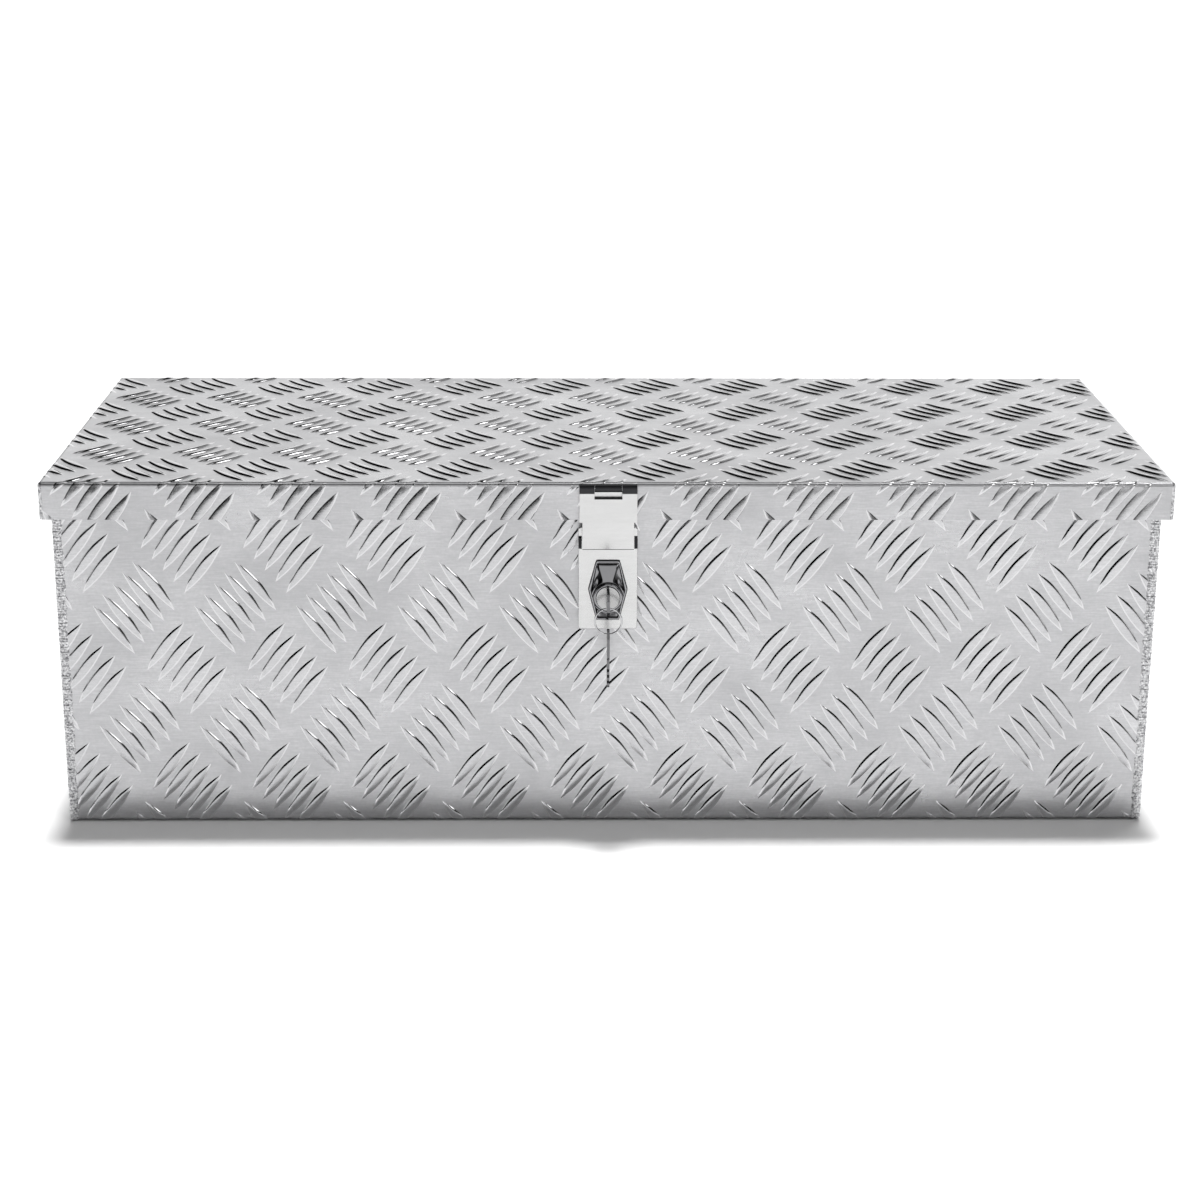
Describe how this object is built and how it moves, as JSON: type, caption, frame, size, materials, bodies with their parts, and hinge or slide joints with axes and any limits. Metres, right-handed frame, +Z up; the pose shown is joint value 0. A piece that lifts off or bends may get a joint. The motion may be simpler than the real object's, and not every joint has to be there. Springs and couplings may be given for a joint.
{
  "type": "truck tool box",
  "caption": "Rectangular tread-plate truck tool box with an overhanging hinged lid, a front hasp flap, a key lock, lid stays and a rim seal.",
  "frame": {"origin": "middle of the box's flat underside", "axes": "+X to the right as seen from the front, +Y toward the back hinge, +Z up; the latch faces -Y"},
  "size_m": [0.76, 0.3617, 0.245],
  "materials": {
    "tread_plate": "mill finish five-bar tread plate",
    "weld": "rippled weld bead",
    "hinge_metal": "brushed",
    "rivet_metal": "smooth",
    "latch_metal": "fine satin",
    "lock_chrome": "polished",
    "lock_steel": "plain zinc",
    "key_metal": "nickel plated",
    "stay_metal": "zinc plated",
    "seal_rubber": "matt"
  },
  "bodies": {
    "box": {"body_wrap": "tread_plate", "end_plate_left": "tread_plate", "end_plate_right": "tread_plate", "corner_weld_left": "weld", "corner_weld_right": "weld", "rim_seal": "seal_rubber", "hinge_body_leaf": "hinge_metal", "hinge_pin": "hinge_metal", "hinge_body_rivets": "rivet_metal", "latch_base": "latch_metal", "latch_base_screws": "lock_steel", "lock_housing": "lock_chrome", "stay_stud_left": "stay_metal", "stay_stud_right": "stay_metal"},
    "lid": {"lid_panel": "tread_plate", "lid_corner_welds": "weld", "hinge_lid_leaf": "hinge_metal", "hinge_lid_rivets": "rivet_metal", "latch_leaf": "latch_metal", "latch_leaf_rivets": "rivet_metal", "latch_pin": "latch_metal", "stay_bracket_left": "stay_metal", "stay_bracket_right": "stay_metal", "stay_pivot_left": "stay_metal", "stay_pivot_right": "stay_metal"},
    "flap": {"latch_flap": "latch_metal"},
    "stay_l": {"lid_stay_left": "stay_metal"},
    "stay_r": {"lid_stay_right": "stay_metal"},
    "plug": {"lock_plug": "lock_chrome", "lock_cam": "lock_steel", "lock_clip": "lock_steel"},
    "bolt": {"lock_bolt": "lock_steel"},
    "key_in_lock": {"key": "key_metal"},
    "ring": {"key_ring": "key_metal"},
    "spare": {"spare_key": "key_metal"}
  },
  "joints": [
    {"name": "lid_open", "type": "hinge", "parent": "box", "child": "lid", "pos_m": [0, 0.16, 0.216], "axis": [-1, 0, 0], "range_deg": [0, 95]},
    {"name": "flap_lift", "type": "hinge", "parent": "lid", "child": "flap", "pos_m": [0, -0.16805, 0.2423], "axis": [-1, 0, 0], "range_deg": [0, 170]},
    {"name": "stay_left_swing", "type": "hinge", "parent": "lid", "child": "stay_l", "pos_m": [-0.3505, 0.05, 0.232], "axis": [1, 0, 0], "range_deg": [0, 40.48]},
    {"name": "stay_right_swing", "type": "hinge", "parent": "lid", "child": "stay_r", "pos_m": [0.3505, 0.05, 0.232], "axis": [1, 0, 0], "range_deg": [0, 40.48]},
    {"name": "key_turn", "type": "hinge", "parent": "box", "child": "plug", "pos_m": [0, -0.1717, 0.1664], "axis": [0, 1, 0], "range_deg": [0, 90]},
    {"name": "bolt_slide", "type": "slide", "parent": "box", "child": "bolt", "axis": [1, 0, 0], "range_m": [0, 0.00496]},
    {"name": "key_pull", "type": "slide", "parent": "plug", "child": "key_in_lock", "axis": [0, -1, 0], "range_m": [0, 0.03]},
    {"name": "ring_swing", "type": "hinge", "parent": "key_in_lock", "child": "ring", "pos_m": [0, -0.1877, 0.1643], "axis": [1, 0, 0], "range_deg": [-45, 20]},
    {"name": "spare_key_swing", "type": "hinge", "parent": "ring", "child": "spare", "pos_m": [0, -0.1877, 0.1463], "axis": [1, 0, 0], "range_deg": [-45, 15]}
  ],
  "couplings": [
    {"joint": "stay_left_swing", "follows": "lid_open", "ratio": 0.42615},
    {"joint": "stay_right_swing", "follows": "lid_open", "ratio": 0.42615},
    {"joint": "bolt_slide", "follows": "key_turn", "m_per_rad": 0.0031511}
  ]
}
